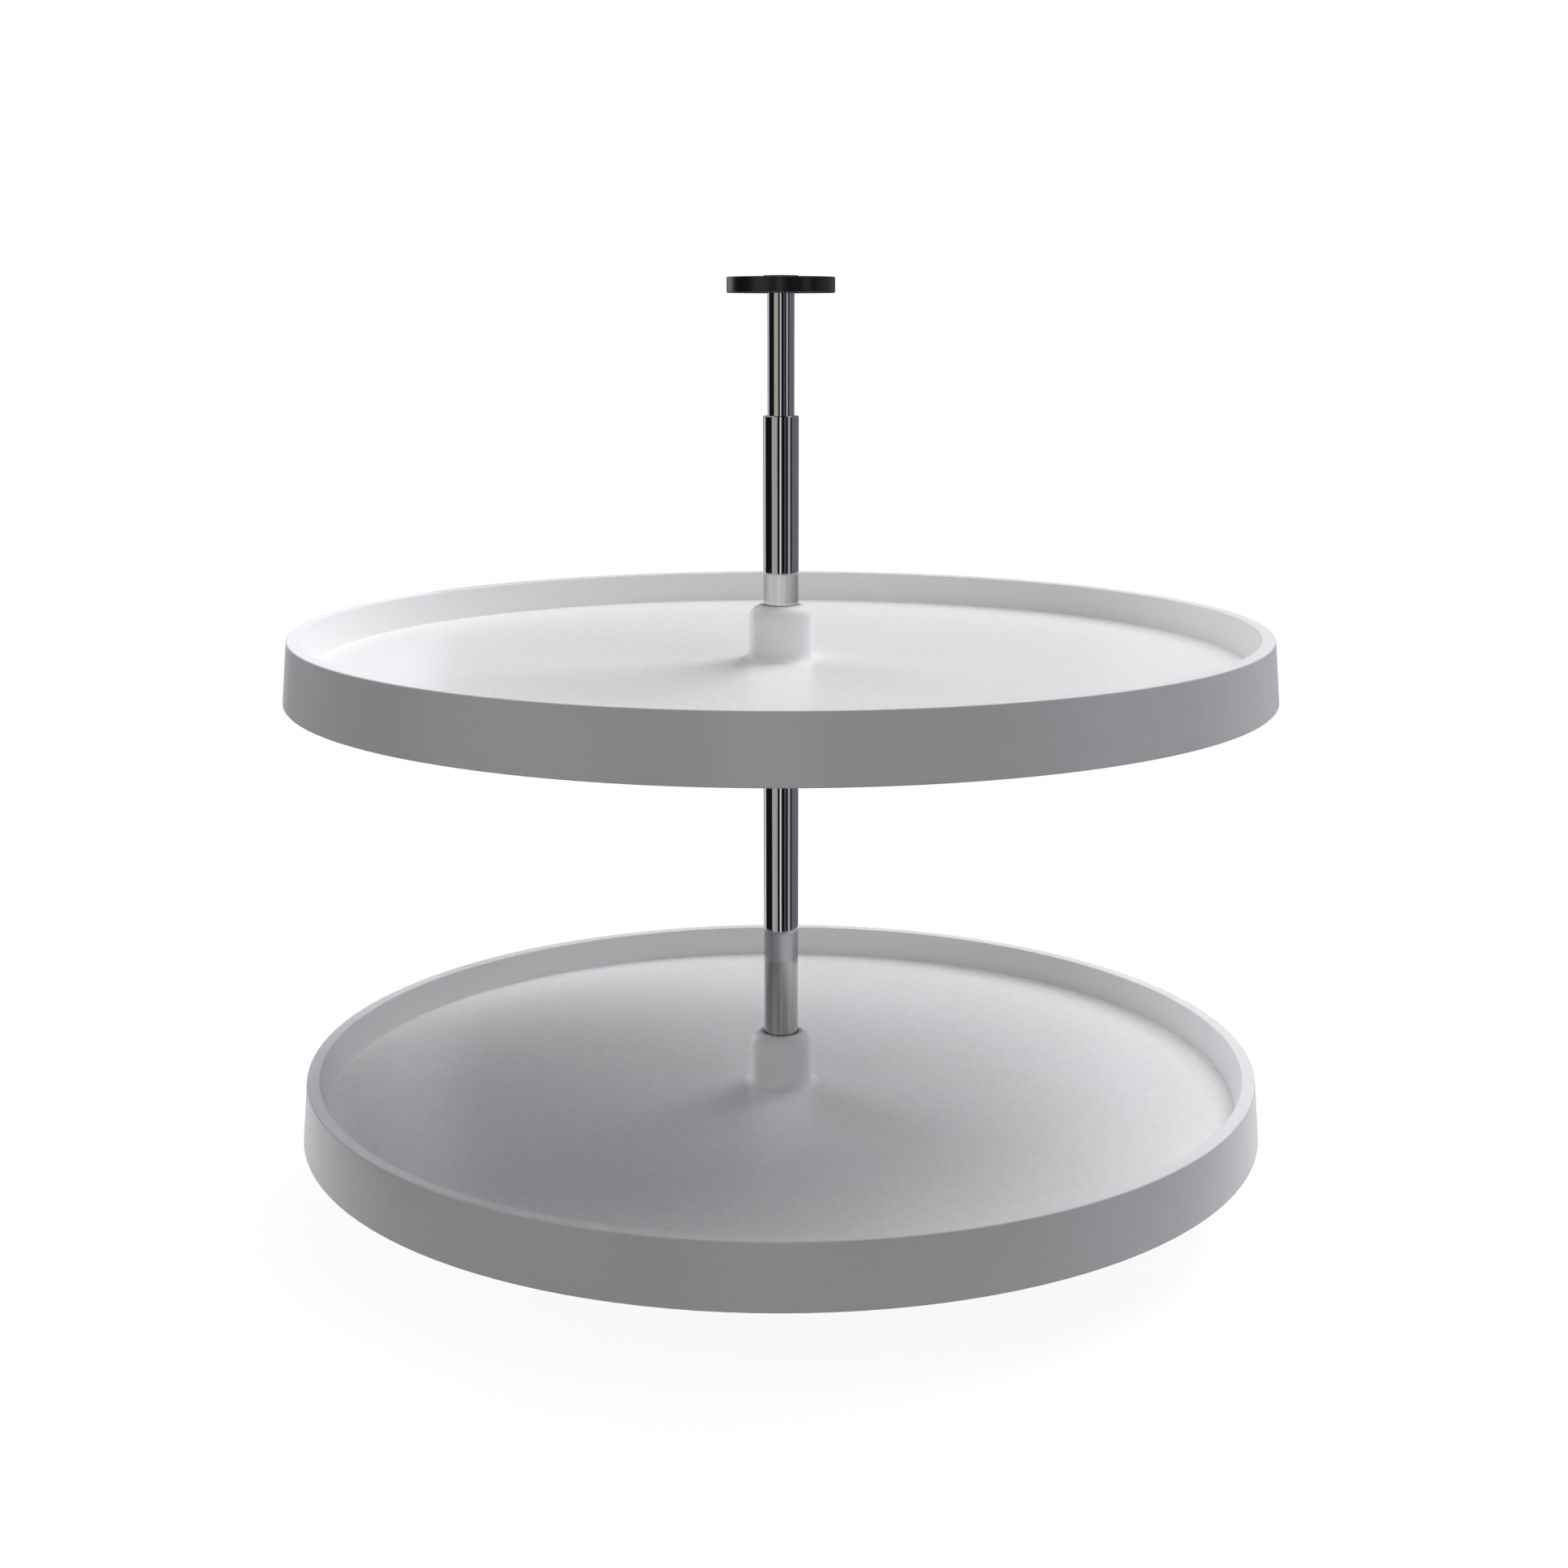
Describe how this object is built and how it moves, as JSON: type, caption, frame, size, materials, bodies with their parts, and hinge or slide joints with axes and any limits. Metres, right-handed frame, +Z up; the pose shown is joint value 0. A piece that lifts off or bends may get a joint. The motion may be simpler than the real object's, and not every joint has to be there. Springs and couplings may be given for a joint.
{
  "type": "rotating pantry shelf fitting",
  "caption": "Round moulded trays that turn on ball thrust bearings round a telescoping chromed shaft, with a floor base and a swivelling top disc, for a corner or pantry cabinet.",
  "frame": {"origin": "centre of the base's underside, on the cabinet floor", "axes": "+Z up along the shaft, +X to the right and +Y away from the viewer as pictured"},
  "size_m": [0.711, 0.711, 0.6741],
  "materials": {
    "white_polymer": "fine-grained satin moulding",
    "chrome_tube": "mirror chrome plate",
    "black_gloss": "glossy moulding",
    "black_nylon": "satin moulding",
    "natural_nylon": "satin moulding",
    "die_cast_zinc": "tumbled casting",
    "zinc_plate": "bright zinc plate",
    "turned_steel": "turned",
    "bearing_steel": "polished",
    "black_steel": "black oxide"
  },
  "bodies": {
    "shaft": {"base_flange": "black_nylon", "base_screw": "black_steel", "main_tube": "chrome_tube", "guide_bush": "black_nylon"},
    "lower_collar_set": {"lower_collar": "die_cast_zinc", "lower_collar_screws": "black_steel", "lower_collar_race": "zinc_plate"},
    "lower_ball_set": {"lower_ball_cage": "natural_nylon", "lower_bearing_balls": "bearing_steel"},
    "lower_shelf": {"lower_tray": "white_polymer", "lower_tray_sleeve": "natural_nylon", "lower_tray_race": "zinc_plate", "lower_race_screws": "zinc_plate"},
    "upper_collar_set": {"upper_collar": "die_cast_zinc", "upper_collar_screws": "black_steel", "upper_collar_race": "zinc_plate"},
    "upper_ball_set": {"upper_ball_cage": "natural_nylon", "upper_bearing_balls": "bearing_steel"},
    "upper_shelf": {"upper_tray": "white_polymer", "upper_tray_sleeve": "natural_nylon", "upper_tray_race": "zinc_plate", "upper_race_screws": "zinc_plate"},
    "lock_expander": {"lock_collet": "natural_nylon"},
    "lock_wedge": {"lock_cone": "turned_steel"},
    "mast": {"lock_stud": "turned_steel", "stop_nut": "zinc_plate", "lock_plug": "black_nylon", "upper_tube": "chrome_tube", "top_plug": "black_nylon", "pivot_pin": "turned_steel"},
    "mounting_disc": {"top_disc": "black_gloss", "pivot_cap": "black_gloss"}
  },
  "joints": [
    {"name": "lower_shelf_height", "type": "slide", "parent": "shaft", "child": "lower_collar_set", "axis": [0, 0, 1], "range_m": [0, 0.1]},
    {"name": "lower_shelf_spin", "type": "hinge", "parent": "lower_collar_set", "child": "lower_shelf", "pos_m": [0, 0, 0.0787], "axis": [0, 0, 1], "continuous": true},
    {"name": "lower_cage_spin", "type": "hinge", "parent": "lower_collar_set", "child": "lower_ball_set", "pos_m": [0, 0, 0.06], "axis": [0, 0, 1], "continuous": true},
    {"name": "upper_shelf_height", "type": "slide", "parent": "shaft", "child": "upper_collar_set", "axis": [0, 0, 1], "range_m": [-0.12, 0.12]},
    {"name": "upper_shelf_spin", "type": "hinge", "parent": "upper_collar_set", "child": "upper_shelf", "pos_m": [0, 0, 0.4024], "axis": [0, 0, 1], "continuous": true},
    {"name": "upper_cage_spin", "type": "hinge", "parent": "upper_collar_set", "child": "upper_ball_set", "pos_m": [0, 0, 0.3837], "axis": [0, 0, 1], "continuous": true},
    {"name": "mast_extend", "type": "slide", "parent": "shaft", "child": "lock_expander", "axis": [0, 0, 1], "range_m": [-0.0127, 0.1143]},
    {"name": "mast_twist", "type": "hinge", "parent": "lock_expander", "child": "mast", "pos_m": [0, 0, 0.405], "axis": [0, 0, 1], "range_deg": [0, 540]},
    {"name": "lock_cone_travel", "type": "slide", "parent": "lock_expander", "child": "lock_wedge", "axis": [0, 0, -1], "range_m": [0, 0.00187]},
    {"name": "top_disc_swivel", "type": "hinge", "parent": "mast", "child": "mounting_disc", "pos_m": [0, 0, 0.6731], "axis": [0, 0, 1], "continuous": true}
  ],
  "couplings": [
    {"joint": "lower_cage_spin", "follows": "lower_shelf_spin", "ratio": 0.5},
    {"joint": "upper_cage_spin", "follows": "upper_shelf_spin", "ratio": 0.5},
    {"joint": "mast_twist", "follows": "lock_cone_travel", "rad_per_m": 5026.5}
  ]
}
